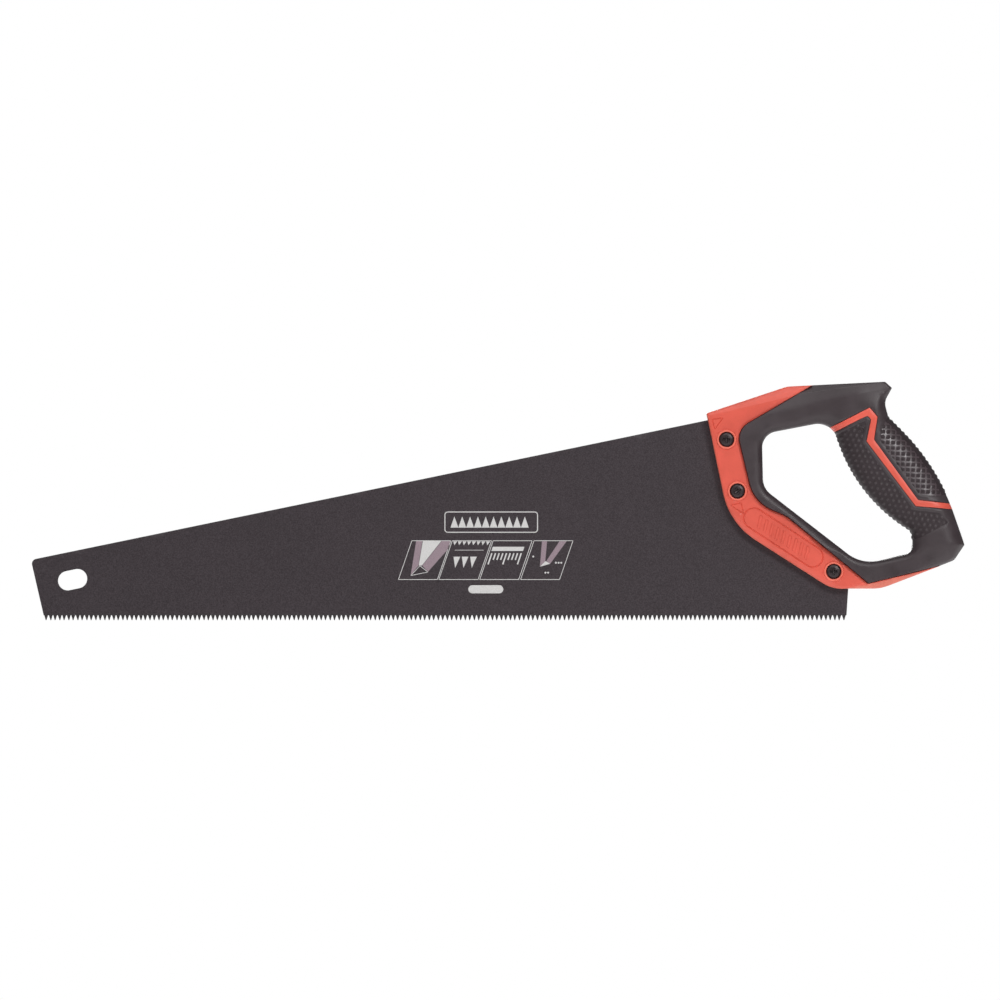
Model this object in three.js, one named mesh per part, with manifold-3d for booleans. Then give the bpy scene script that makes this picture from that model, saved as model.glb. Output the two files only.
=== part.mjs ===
// Hand saw for wood: a hardpoint blade held in a two-material closed handle by three screws.
// Millimetres. +X points to the heel of the handle, +Z up, and Y is the saw's thickness.
// The origin is the middle of the hand grip, on the mid-plane of the blade.
import * as THREE from 'three';
import { mergeVertices } from 'three/addons/utils/BufferGeometryUtils.js';
import Module from 'manifold-3d';

const wasm = await Module();
wasm.setup();

// ---- driving dimensions ----
const GAP = 0.3;                    // clearance between neighbouring pieces
const ARC_STEP = 3.2;               // longest chord on a rounded corner

const BLADE_THICKNESS = 0.9;
const TOOTH_PITCH = 25.4 / 9;       // nine teeth to the inch
const TOOTH_COUNT = 178;
const TOOTH_TIP_Z = -83.4;
const TOOTH_DEPTH = 3.1;
const TOOTH_TIP_FLAT = 0.3;
const FIRST_TIP_X = -536.3;
const BACK_SLOPE = 11.67;           // degrees between the blade's back and its tooth line
const HANG_SLOT = { x: -519.75, z: -58, halfSpan: 3.3, radius: 6.2 };

const CHEEK_HALF = 7;               // half thickness of the red cheeks
const RING_HALF = 10.5;             // half thickness of the soft ring round the hand opening
const HAND_HALF = 14.5;             // half thickness of the part held in the hand
const SKELETON_HALF = 5;            // half thickness of the hard core inside the soft ring
const SKELETON_INSET = 4;           // soft material over the edges of the hard core

const SCREWS = [
  { name: 'top', x: -110.4, z: 29.8, turn: 0 },
  { name: 'middle', x: -103.6, z: -2.5, turn: 30 },
  { name: 'bottom', x: -43.4, z: -52.8, turn: 0 },
];
const HEAD_RADIUS = 4.45;
const HEAD_HEIGHT = 2.4;
const HEAD_SEAT = 3.4;              // distance of the head's seat from the mid-plane
const COUNTERBORE_RADIUS = 4.85;
const LIP_RADIUS = 6.05;
const LIP_HEIGHT = 0.5;
const BARREL_RADIUS = 3;
const SHANK_RADIUS = 2;
const BADGE = { x: -74.9, z: -31.6, angle: -33.3, halfSpan: 22, radius: 6.4, depth: 0.5 };

// ---- outlines: corners as [x, z, rounding radius], clockwise from the upper left ----
const HANDLE = [
  [-122.8, 46.2, 3], [-72.5, 62.9, 12], [-11.2, 65.9, 0], [-6.9, 62, 0],
  [-11.6, 53.2, 9], [-8.9, 43.3, 0], [21.9, 12.2, 138], [38.7, -36.2, 0],
  [32.2, -45.8, 4], [-13.7, -63.6, 27], [-44.7, -63.6, 22], [-108.5, -22.7, 46],
];
const HAND_OPENING = [
  [-88.2, 33, 10.2], [-44.7, 41.4, 13], [-26.7, -7.2, 103], [5.7, -27.4, 5],
  [7, -40.7, 8], [-25.5, -48.7, 24], [-87.4, -0.8, 12.6],
];
const SOFT_RING = [
  [-55.3, 64.6, 0], [-11.2, 65.9, 0], [-6.9, 62, 0],
  [-11.6, 53.2, 9], [-8.9, 43.3, 0], [21.9, 12.2, 138], [38.7, -36.2, 0],
  [32.2, -45.8, 4], [22, -49.7, 0], [-21.8, -60.4, 0],
  [-73.3, -18.1, 30], [-93.4, -10, 25], [-104.5, 35.9, 11.7],
];
const SOFT_REGION = [
  [-50, 67.6, 0], [60, 72, 0], [60, -40.3, 0], [-21.8, -60.4, 0],
  [-73.3, -18.1, 30], [-93.4, -10, 25], [-104.5, 35.9, 11.7],
];
const HAND_SWELL = [
  [-50, 62.5, 9], [-17, 63.4, 9], [-14.6, 41.6, 24], [19.2, 10.4, 130],
  [35.6, -34.6, 9], [24, -46.5, 12], [10, -49.7, 8], [9.4, -28.1, 10],
  [-25.5, -6.2, 101.5], [-43.2, 42.6, 0],
];
const STRIPE = [
  [-49.5, 35.3, 0], [-21.2, 49.6, 0], [-16.3, 43.8, 0], [-18.5, 29.6, 0],
  [9, -8.1, 0], [46, -12.1, 0], [46, -15.3, 0], [7.6, -11.9, 0],
  [-23.1, 28.6, 0], [-20.3, 42.2, 0], [-22.4, 44.6, 1.5], [-27, 42.6, 3], [-46.5, 32.4, 0],
];
const BLADE_TOP = [
  [-545.9, -45.6, 3.2], [-122, 41.9, 0], [-106, 45, 3], [-97, 4, 20],
  [-78, -22, 20], [-33.3, -53, 2],
];

// ---- helpers ----
function roundCorners(corners) {
  const points = [];
  corners.forEach(([x, z, radius], i) => {
    const corner = new THREE.Vector2(x, z);
    const previous = corners[(i + corners.length - 1) % corners.length];
    const next = corners[(i + 1) % corners.length];
    const back = new THREE.Vector2(previous[0], previous[1]).sub(corner).normalize();
    const ahead = new THREE.Vector2(next[0], next[1]).sub(corner).normalize();
    const half = Math.acos(THREE.MathUtils.clamp(back.dot(ahead), -1, 1)) / 2;
    if (radius === 0) {
      points.push(corner);
      return;
    }
    const reach = radius / Math.tan(half);
    const centre = back.clone().add(ahead).setLength(radius / Math.sin(half)).add(corner);
    const start = back.clone().multiplyScalar(reach).add(corner).sub(centre);
    const end = ahead.clone().multiplyScalar(reach).add(corner).sub(centre);
    let sweep = end.angle() - start.angle();
    sweep = Math.atan2(Math.sin(sweep), Math.cos(sweep));
    const steps = Math.max(2, Math.ceil(Math.abs(sweep) * radius / ARC_STEP));
    for (let k = 0; k <= steps; k++) {
      const angle = start.angle() + sweep * k / steps;
      points.push(new THREE.Vector2(radius * Math.cos(angle), radius * Math.sin(angle)).add(centre));
    }
  });
  return points;
}

// Moves every side of a clockwise outline by the same distance; positive makes it larger.
function grow(corners, distance) {
  const count = corners.length;
  const sides = corners.map(([x, z], i) => {
    const next = corners[(i + 1) % count];
    const along = new THREE.Vector2(next[0] - x, next[1] - z).normalize();
    const point = new THREE.Vector2(x - along.y * distance, z + along.x * distance);
    return { point, along };
  });
  return corners.map(([, , radius], i) => {
    const a = sides[(i + count - 1) % count];
    const b = sides[i];
    const between = b.point.clone().sub(a.point);
    const turn = a.along.cross(b.along);
    const meet = a.along.clone().multiplyScalar(between.cross(b.along) / turn).add(a.point);
    const newRadius = turn < 0 ? radius + distance : radius - distance;
    return [meet.x, meet.y, radius === 0 ? 0 : Math.max(newRadius, 0.5)];
  });
}

function solid(geometry) {
  const bare = geometry.index ? geometry.toNonIndexed() : geometry.clone();
  bare.deleteAttribute('normal');
  bare.deleteAttribute('uv');
  const merged = mergeVertices(bare, 1e-4);
  const mesh = new wasm.Mesh({
    numProp: 3,
    vertProperties: new Float32Array(merged.attributes.position.array),
    triVerts: new Uint32Array(merged.index.array),
  });
  return new wasm.Manifold(mesh);
}

// A plate in the XZ plane, centred on the mid-plane, with rounded edges on both faces.
function plate(outline, holes, half, bevel = 0, bevelSteps = 0) {
  const shape = new THREE.Shape([...outline].reverse());
  holes.forEach((hole) => shape.holes.push(new THREE.Path(hole)));
  const geometry = new THREE.ExtrudeGeometry(shape, {
    depth: 2 * (half - bevel),
    bevelEnabled: bevel > 0,
    bevelThickness: bevel,
    bevelSize: bevel,
    bevelOffset: -bevel,
    bevelSegments: bevelSteps,
    steps: 1,
  });
  geometry.translate(0, 0, bevel - half);
  geometry.rotateX(Math.PI / 2);
  return solid(geometry);
}

// A turned piece along Y; the profile lists [radius, y].
function turned(profile, x, z, segments = 24) {
  const points = profile.map(([radius, y]) => new THREE.Vector2(radius, y));
  const geometry = new THREE.LatheGeometry(points, segments);
  geometry.translate(x, 0, z);
  return solid(geometry);
}

function box(sizeX, sizeY, sizeZ, x, y, z, turn = 0) {
  const geometry = new THREE.BoxGeometry(sizeX, sizeY, sizeZ);
  geometry.rotateY(THREE.MathUtils.degToRad(turn));
  geometry.translate(x, y, z);
  return solid(geometry);
}

// An outline with two straight sides and two round ends, turned by an angle in degrees.
function capsule({ x, z, halfSpan, radius, angle }, steps = 10) {
  const points = [];
  const tilt = THREE.MathUtils.degToRad(angle);
  for (const end of [1, -1]) {
    for (let k = 0; k <= steps; k++) {
      const bearing = Math.PI * (0.5 - k / steps) + (end > 0 ? 0 : Math.PI);
      points.push(new THREE.Vector2(end * halfSpan + radius * Math.cos(bearing), radius * Math.sin(bearing)));
    }
  }
  return points.map((point) => point.rotateAround(new THREE.Vector2(), tilt).add(new THREE.Vector2(x, z)));
}

function mesh(name, manifold, colour, roughness, metalness) {
  const raw = manifold.getMesh();
  const geometry = new THREE.BufferGeometry();
  geometry.setAttribute('position', new THREE.BufferAttribute(raw.vertProperties, 3));
  geometry.setIndex(new THREE.BufferAttribute(raw.triVerts, 1));
  const flat = geometry.toNonIndexed();
  flat.computeVertexNormals();
  const material = new THREE.MeshStandardMaterial({ color: colour, roughness, metalness });
  const object = new THREE.Mesh(flat, material);
  object.name = name;
  return object;
}

// ---- blade ----
function bladeOutline() {
  const points = roundCorners([...BLADE_TOP, [-35.3, TOOTH_TIP_Z, 0], [-537.1, TOOTH_TIP_Z, 0]]);
  points.length -= 2;
  const gulletZ = TOOTH_TIP_Z + TOOTH_DEPTH;
  points.push(new THREE.Vector2(-35.1, gulletZ));
  for (let i = TOOTH_COUNT - 1; i >= 0; i--) {
    const tip = FIRST_TIP_X + i * TOOTH_PITCH;
    points.push(new THREE.Vector2(tip + TOOTH_TIP_FLAT / 2, TOOTH_TIP_Z));
    points.push(new THREE.Vector2(tip - TOOTH_TIP_FLAT / 2, TOOTH_TIP_Z));
    if (i > 0) points.push(new THREE.Vector2(tip - TOOTH_PITCH / 2, gulletZ));
  }
  points.push(new THREE.Vector2(-537.9, gulletZ));
  return points;
}

const hangSlot = capsule({ ...HANG_SLOT, angle: BACK_SLOPE }, 12);
let blade = plate(bladeOutline(), [hangSlot], BLADE_THICKNESS / 2);

// ---- handle ----
const opening = roundCorners(HAND_OPENING);
const cheeks = plate(roundCorners(HANDLE), [opening], CHEEK_HALF, 2.4, 2);
const ring = plate(roundCorners(SOFT_RING), [opening], RING_HALF, 2.2, 3);

// The hand swell ramps down to the ring's thickness towards the upper arm.
const rampShape = new THREE.Shape([
  new THREE.Vector2(-62, -RING_HALF), new THREE.Vector2(-34, -HAND_HALF - 0.5),
  new THREE.Vector2(60, -HAND_HALF - 0.5), new THREE.Vector2(60, HAND_HALF + 0.5),
  new THREE.Vector2(-34, HAND_HALF + 0.5), new THREE.Vector2(-62, RING_HALF),
]);
const rampGeometry = new THREE.ExtrudeGeometry(rampShape, { depth: 160, bevelEnabled: false });
rampGeometry.translate(0, 0, -80);
const swell = plate(roundCorners(HAND_SWELL), [], HAND_HALF, 7.5, 4).intersect(solid(rampGeometry));
const skin = ring.add(swell).subtract(plate(opening, [], 20));

const skeletonOpening = grow(HAND_OPENING, SKELETON_INSET);
const skeleton = plate(
  roundCorners(grow(HANDLE, -SKELETON_INSET)), [roundCorners(skeletonOpening)], SKELETON_HALF);
const skeletonSpace = plate(
  roundCorners(grow(HANDLE, GAP - SKELETON_INSET)),
  [roundCorners(grow(HAND_OPENING, SKELETON_INSET - GAP))], SKELETON_HALF + GAP);
const softRegion = plate(roundCorners(SOFT_REGION), [], 20);
const stripe = skin.intersect(plate(roundCorners(STRIPE), [], 20));
const stripeSpace = plate(roundCorners(grow(STRIPE, GAP)), [], 20);

let core = cheeks.subtract(softRegion).add(skeleton).add(stripe);
const bladeSlot = plate(
  roundCorners(grow([...BLADE_TOP, [-35.3, -90, 0], [-537.1, -90, 0]], GAP)),
  [], BLADE_THICKNESS / 2 + GAP);
core = core.subtract(bladeSlot);

const softSpace = plate(roundCorners(grow(SOFT_REGION, -GAP)), [], 20);
const softGrip = skin.intersect(softSpace).subtract(skeletonSpace).subtract(stripeSpace);

// Shallow badge recess on both cheeks.
for (const side of [-1, 1]) {
  const recess = plate(capsule({ ...BADGE }), [], BADGE.depth);
  core = core.subtract(recess.translate([0, side * CHEEK_HALF, 0]));
}

// ---- screws, and the sleeve nuts that they draw in from the far side ----
const screwMeshes = [];
for (const { name, x, z, turn } of SCREWS) {
  const lip = turned([
    [COUNTERBORE_RADIUS, -CHEEK_HALF - LIP_HEIGHT], [LIP_RADIUS, -CHEEK_HALF - LIP_HEIGHT],
    [LIP_RADIUS, CHEEK_HALF + LIP_HEIGHT], [COUNTERBORE_RADIUS, CHEEK_HALF + LIP_HEIGHT],
    [COUNTERBORE_RADIUS, -CHEEK_HALF - LIP_HEIGHT],
  ], x, z);
  const counterbores = turned([
    [0, -20], [COUNTERBORE_RADIUS, -20], [COUNTERBORE_RADIUS, -HEAD_SEAT + GAP],
    [BARREL_RADIUS + GAP, -HEAD_SEAT + GAP], [BARREL_RADIUS + GAP, HEAD_SEAT - GAP],
    [COUNTERBORE_RADIUS, HEAD_SEAT - GAP], [COUNTERBORE_RADIUS, 20], [0, 20],
  ], x, z);
  core = core.add(lip.subtract(bladeSlot)).subtract(counterbores);
  blade = blade.subtract(turned([
    [0, -2], [BARREL_RADIUS + GAP, -2], [BARREL_RADIUS + GAP, 2], [0, 2],
  ], x, z));

  const top = HEAD_SEAT + HEAD_HEIGHT;
  let screw = turned([
    [0, -top], [2.6, -top + 0.1], [3.8, -top + 0.5], [HEAD_RADIUS, -top + 1.4],
    [HEAD_RADIUS, -HEAD_SEAT], [SHANK_RADIUS, -HEAD_SEAT], [SHANK_RADIUS, 2.4], [0, 2.9],
  ], x, z);
  const recessDepth = 1.6;
  for (const arm of [0, 90]) {
    screw = screw.subtract(box(4.4, 2 * recessDepth, 1.1, x, -top, z, turn + arm));
  }
  const nut = turned([
    [SHANK_RADIUS + GAP, -HEAD_SEAT + GAP], [BARREL_RADIUS, -HEAD_SEAT + GAP],
    [BARREL_RADIUS, HEAD_SEAT], [HEAD_RADIUS, HEAD_SEAT], [HEAD_RADIUS, top - 1.2],
    [3.6, top - 0.3], [0, top], [0, 3.3], [SHANK_RADIUS + GAP, 3.3],
    [SHANK_RADIUS + GAP, -HEAD_SEAT + GAP],
  ], x, z);
  screwMeshes.push(mesh(`handle_screw_${name}`, screw, 0x231c1e, 0.42, 0.2));
  screwMeshes.push(mesh(`sleeve_nut_${name}`, nut, 0x231c1e, 0.42, 0.2));
}

const saw = new THREE.Group();
saw.name = 'hand_saw';
saw.add(mesh('saw_blade', blade, 0x443c40, 0.62, 0.35));
saw.add(mesh('handle_core', core, 0xde5c4e, 0.55, 0));
saw.add(mesh('soft_grip', softGrip, 0x463e42, 0.78, 0));
screwMeshes.forEach((piece) => saw.add(piece));

export default saw;
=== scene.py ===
"""Fine surface, materials, light and camera for the hand saw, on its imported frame."""
import math

import bmesh
import bpy
import numpy as np
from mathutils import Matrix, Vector, kdtree
from mathutils.geometry import delaunay_2d_cdt


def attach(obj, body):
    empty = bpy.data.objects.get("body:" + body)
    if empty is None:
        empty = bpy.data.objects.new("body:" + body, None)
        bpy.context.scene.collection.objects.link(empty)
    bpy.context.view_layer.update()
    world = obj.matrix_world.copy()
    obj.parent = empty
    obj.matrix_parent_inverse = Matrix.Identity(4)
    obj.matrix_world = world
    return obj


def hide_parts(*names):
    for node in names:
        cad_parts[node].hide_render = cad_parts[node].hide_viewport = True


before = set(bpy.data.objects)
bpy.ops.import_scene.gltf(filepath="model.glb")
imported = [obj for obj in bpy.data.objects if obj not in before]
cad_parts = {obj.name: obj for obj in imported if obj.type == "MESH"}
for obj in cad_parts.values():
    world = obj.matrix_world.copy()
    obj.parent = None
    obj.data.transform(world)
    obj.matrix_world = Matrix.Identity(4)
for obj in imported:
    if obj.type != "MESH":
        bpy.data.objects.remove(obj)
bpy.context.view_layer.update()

MM = 0.001

# ---- outlines in millimetres, corners as (x, z, rounding radius), clockwise ----
HANDLE = [
    (-122.8, 46.2, 0.7), (-72.5, 62.9, 12), (-11.2, 65.9, 1.6), (-6.9, 62, 0.4),
    (-11.6, 53.2, 9), (-8.9, 43.3, 1.5), (21.9, 12.2, 138), (38.7, -36.2, 0.8),
    (32.2, -45.8, 4), (-13.7, -63.6, 27), (-44.7, -63.6, 22), (-108.5, -22.7, 46),
]
HAND_OPENING = [
    (-88.2, 33, 10.2), (-44.7, 41.4, 13), (-26.7, -7.2, 103), (5.7, -27.4, 5),
    (7, -40.7, 8), (-25.5, -48.7, 24), (-87.4, -0.8, 12.6),
]
SOFT_REGION = [
    (-50, 67.6, 0), (60, 72, 0), (60, -40.3, 0), (-21.8, -60.4, 0),
    (-73.3, -18.1, 30), (-93.4, -10, 25), (-104.5, 35.9, 11.7),
]
STRIPE = [
    (-49.5, 35.3, 0), (-21.2, 49.6, 0.3), (-16.3, 43.8, 0.5), (-18.5, 29.6, 0.5),
    (9, -8.1, 1), (46, -12.1, 0), (46, -15.3, 0), (7.6, -11.9, 1),
    (-23.1, 28.6, 0.5), (-20.3, 42.2, 1.2), (-22.4, 44.6, 1.5), (-27, 42.6, 3), (-46.5, 32.4, 0),
]
BLADE = [
    (-545.9, -45.6, 3.2), (-122, 41.9, 0), (-106, 45, 3), (-97, 4, 20),
    (-78, -22, 20), (-33.3, -53, 2), (-35.1, -80.3, 0), (-537.9, -80.3, 0),
]
FINGER_PAD = [
    (-47, 30.2, 0), (-27.6, 40.2, 2), (-23.9, 41.6, 0.6), (-22.9, 40, 0.6), (-25.6, 28, 1),
    (6.4, -14.2, 1), (22.6, -15.9, 1), (28.3, -22.4, 0.8), (25.4, -24.1, 1), (13.4, -30.4, 3),
    (2, -35, 0), (-24, -25, 0), (-52, 10, 0),
]
PALM_PAD = [
    (-4, 52, 0), (10, 50, 0), (44, 5, 0), (32, -4.6, 0), (19, -6.2, 3),
    (9.6, -4.7, 1), (-14.8, 28.6, 1), (-14.2, 36.6, 1), (-9.4, 45, 1),
]
ANGLE_MARKS = [
    [(-119.3, 42.3, 0.2), (-112.6, 43.4, 0.2), (-117.8, 36.0, 0.2)],
    [(-107.8, -11.3, 0.2), (-101.2, -10.0, 0.2), (-99.8, -16.8, 0.2)],
]

# ---- sizes in millimetres ----
CURVE_STEP = 0.8
SCREWS = [("top", -110.4, 29.8, 0), ("middle", -103.6, -2.5, 30), ("bottom", -43.4, -52.8, 0)]
HEAD_RADIUS = 4.45
HEAD_EDGE = 5.7
HEAD_CROWN = 1.6
HEAD_CURVE = 4.75
HEAD_FOOT = 3.35
CROSS_ARM = 2.25
CROSS_WIDE = 0.55
BORE_RADIUS = 4.85
BORE_SIDES = 40
PLUG_HALF = 3.3
LIP_HEIGHT = 0.8
LIP_INNER = 5.2
LIP_TOP = 5.95
LIP_FOOT = 6.3

# half thickness of the handle, and how it rolls off towards its outline, as (z, value)
CHEEK = 7.0
CHEEK_STEP = 2.2
CHEEK_FACET = (40, 43)
ARM_HALF = 10
GRIP_SWELL = 4.3
HORN_TAPER = 2.6
STRIP_HALF = 9.8
HEEL_SWELL = 3.6
OPENING_HALF = 4.2
EDGE_ROLL = [(-52, 4), (-44, 9), (-34, 13), (-10, 13), (0, 17),
             (35, 17), (45, 9), (55, 6), (61, 2), (66, 1.2)]
EDGE_HALF = [(-50, 5), (-40, 4), (40, 3.6), (55, 4.5), (60, 6.2), (66, 6.2)]

# straight creases of the handle, each from one point to another
TOP_CREASES = [((-54.8, 51.4), (-17.2, 60.1)), ((-54.8, 59.7), (-18.5, 64.7))]
RED_CREASES = [((-122.1, 44.3), (-70.9, 56.4)), ((-122, 45.6), (-68, 60.6))]
UNDER_CREASES = [((-36, -63.3), (-20.5, -60.5)), ((-20.5, -60.7), (32, -47.8))]
HEEL = ((32.2, -45.8), (38.7, -36.2))

# round peg at the top of the finger pad, and the panel with slanted ribs on the cheek
PEG = (-26.1, 35.7)
PEG_RADIUS = 1.5
BADGE = dict(x=-74.9, z=-31.6, span=22.0, radius=6.4, angle=-33.3)
RIB = [(-2.4, 3.8), (-0.2, 3.8), (2.4, -3.8), (0.2, -3.8)]
RIB_PITCH = 4.4
RIBS_EACH_SIDE = 4
RIB_SLOPE = 0.35

# square studs of the palm pad, round bumps of the finger pad
PALM_ORIGIN = np.array((-12.85, 34.65))
PALM_AXES = np.array(((0.998, -0.063), (-0.030, -0.9995)))
PALM_PITCH = 3.25
STUD_FOOT = 1.12
STUD_TOP = 0.5
FINGER_PITCH = 3.55
FINGER_TILT = 8
BUMP_RADIUS = 1.15
BUMP_HEIGHT = 0.50
PAD_SOFTNESS = (-0.15, 0.25)

# blade and teeth
BLADE_EDGE_HALF = 0.30
BLADE_CROWN = 0.15
BLADE_MESH = 12
HANG_SLOT = dict(x=-519.75, z=-58, span=3.15, radius=6.05, angle=11.67, count=24)
TOOTH_PITCH = 25.4 / 9
TOOTH_COUNT = 178
FIRST_TIP = -536.3
ROOT_Z = -79.9
TIP_Z = -83.4
ROOT_WIDE = 1.30
TIP_WIDE = 0.2
ROOT_HALF = 0.42
TIP_HALF = 0.12
TOOTH_SET = 0.16
TIP_SHIFT = 0.1


# ---- plane geometry ----
def rounded(corners, step=CURVE_STEP):
    """Outline through corners (x, z, radius), with each radius drawn as an arc."""
    points = []
    for i, (x, z, r) in enumerate(corners):
        c = np.array((x, z))
        back = np.array(corners[i - 1][:2]) - c
        ahead = np.array(corners[(i + 1) % len(corners)][:2]) - c
        back = back / np.hypot(*back)
        ahead = ahead / np.hypot(*ahead)
        half = math.acos(max(-1, min(1, back @ ahead))) / 2
        if r == 0:
            points.append(c)
            continue
        bisector = (back + ahead) / np.hypot(*(back + ahead))
        centre = c + bisector * r / math.sin(half)
        first = c + back * r / math.tan(half) - centre
        last = c + ahead * r / math.tan(half) - centre
        a0 = math.atan2(first[1], first[0])
        sweep = math.remainder(math.atan2(last[1], last[0]) - a0, 2 * math.pi)
        count = max(2, math.ceil(abs(sweep) * r / step))
        angles = a0 + sweep * np.arange(count + 1) / count
        points.extend(centre + r * np.stack((np.cos(angles), np.sin(angles)), 1))
    return np.array(points)


def resample(loop, step):
    """Splits every side of a closed loop into pieces no longer than step."""
    points = []
    for a, b in zip(loop, np.roll(loop, -1, 0)):
        count = max(1, math.ceil(np.hypot(*(b - a)) / step))
        points.extend(a + (b - a) * np.arange(count)[:, None] / count)
    return np.array(points)


def circle(x, z, r, count):
    """Clockwise circle."""
    a = np.arange(count) * 2 * math.pi / count
    return np.stack((x + r * np.cos(a), z + r * np.sin(a)), 1)[::-1]


def capsule(x, z, span, radius, angle, count=20):
    """Clockwise outline with two round ends, whose centres lie span to each side of (x, z)."""
    a = np.concatenate((np.linspace(90, -90, count), np.linspace(270, 90, count))) * math.pi / 180
    ends = np.repeat((span, -span), count)
    flat = np.stack((ends + radius * np.cos(a), radius * np.sin(a)), 1)
    return turned(flat, angle) + (x, z)


def turned(points, degrees):
    """Points turned anticlockwise about the origin."""
    c, s = math.cos(math.radians(degrees)), math.sin(math.radians(degrees))
    return points @ np.array(((c, s), (-s, c)))


def inside(points, loop):
    """Which points a closed loop holds, by counting the sides that a ray crosses."""
    x, z = points[:, 0], points[:, 1]
    hit = np.zeros(len(points), bool)
    for (ax, az), (bx, bz) in zip(loop, np.roll(loop, -1, 0)):
        if az == bz:
            continue
        crosses = ((az > z) != (bz > z)) & (x < (bx - ax) * (z - az) / (bz - az) + ax)
        hit ^= crosses
    return hit


def depth(points, loop):
    """Distance to a closed loop, positive inside."""
    best = np.full(len(points), 1e9)
    for a, b in zip(loop, np.roll(loop, -1, 0)):
        side = b - a
        t = np.clip(((points - a) @ side) / (side @ side), 0, 1)
        gap = points - a - t[:, None] * side
        best = np.minimum(best, gap[:, 0] ** 2 + gap[:, 1] ** 2)
    return np.where(inside(points, loop), 1, -1) * np.sqrt(best)


def above(points, a, b):
    """Distance above the line from a to b."""
    a, b = np.array(a), np.array(b)
    normal = np.array((a[1] - b[1], b[0] - a[0])) / np.hypot(*(b - a))
    return (points - a) @ normal


def ease(value, start, end):
    """Smooth step from 0 at start to 1 at end; start may be the higher one."""
    t = np.clip((value - start) / (end - start), 0, 1)
    return t * t * (3 - 2 * t)


def bulge(distance, half):
    """Round profile: 1 at distance 0, and 0 from half onwards."""
    return np.clip(1 - (distance / half) ** 2, 0, 1)


def blend_min(a, b, k):
    """The lower of two heights, with a soft corner of about k between them."""
    h = np.clip(0.5 + 0.5 * (b - a) / k, 0, 1)
    return b + (a - b) * h - k * h * (1 - h)


def roll(distance, width, low, high):
    """Rounded shoulder that rises from low at the edge to high over width."""
    t = np.clip(distance / width, 0, 1)
    return low + (high - low) * np.sqrt(np.clip(1 - (1 - t) ** 2, 0, 1))


def offsets(loop, distances, step):
    """Points that follow a clockwise loop at given distances inside it."""
    fine = resample(loop, step)
    along = np.roll(fine, -1, 0) - np.roll(fine, 1, 0)
    along /= np.maximum(np.hypot(along[:, 0], along[:, 1]), 1e-9)[:, None]
    inward = np.stack((along[:, 1], -along[:, 0]), 1)
    return np.concatenate([fine + inward * d for d in distances])


def inset(loop, distance):
    """Convex clockwise loop with every side moved inwards."""
    back = np.roll(loop, 1, 0)
    ahead = np.roll(loop, -1, 0)
    first = (loop - back) / np.linalg.norm(loop - back, axis=1)[:, None]
    second = (ahead - loop) / np.linalg.norm(ahead - loop, axis=1)[:, None]
    inward = np.stack((first[:, 1], -first[:, 0]), 1) + np.stack((second[:, 1], -second[:, 0]), 1)
    return loop + distance * inward / (1 + (first * second).sum(1))[:, None]


def hex_grid(low, high, pitch):
    """Points in staggered rows over a box."""
    rows = np.arange(low[1], high[1], pitch * math.sqrt(3) / 2)
    columns = np.arange(low[0], high[0], pitch)
    points = [np.stack((columns + (pitch / 2 if i % 2 else 0), np.full(len(columns), z)), 1)
              for i, z in enumerate(rows)]
    return np.concatenate(points)


def thin(points, others, gap):
    """Those points that are at least gap away from all the others."""
    tree = kdtree.KDTree(len(others))
    for i, (x, z) in enumerate(others):
        tree.insert((x, z, 0), i)
    tree.balance()
    keep = [tree.find((x, z, 0))[2] >= gap for x, z in points]
    return points[np.array(keep)]


def distinct(points, gap):
    """One point for each square of a grid of that gap."""
    cells = np.round(points / gap).astype(int)
    _, first = np.unique(cells, axis=0, return_index=True)
    return points[np.sort(first)]


# ---- meshes ----
def triangulate(loops, points):
    """Delaunay triangles through loops and free points; returns points and triangles."""
    coords, edges = [], []
    for loop in loops:
        start = len(coords)
        coords.extend(Vector(p) for p in loop)
        edges.extend((start + i, start + (i + 1) % len(loop)) for i in range(len(loop)))
    coords.extend(Vector(p) for p in points)
    verts, _, faces, _, _, _ = delaunay_2d_cdt(coords, edges, [], 0, 1e-4)
    return np.array([tuple(v) for v in verts]), np.array([f for f in faces if len(f) == 3])


def oriented(plane, triangles):
    """The triangles all turned one way, with their middles and twice their areas."""
    corner = plane[triangles]
    area = np.cross(corner[:, 1] - corner[:, 0], corner[:, 2] - corner[:, 0])
    one_way = np.where(area[:, None] > 0, triangles, triangles[:, ::-1])
    return one_way, corner.mean(1), np.abs(area)


def loops_of(triangles):
    """Border loops of a set of triangles, in the triangles' own direction."""
    edges = {}
    for t in triangles:
        for k in range(3):
            edges[(t[k], t[(k + 1) % 3])] = True
    ahead = {}
    for a, b in edges:
        if (b, a) not in edges:
            ahead.setdefault(a, []).append(b)
    result = []
    while ahead:
        start = next(iter(ahead))
        loop = [start]
        while True:
            options = ahead[loop[-1]]
            following = options.pop()
            if not options:
                del ahead[loop[-1]]
            if following == start:
                break
            loop.append(following)
        result.append(loop)
    return result


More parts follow.
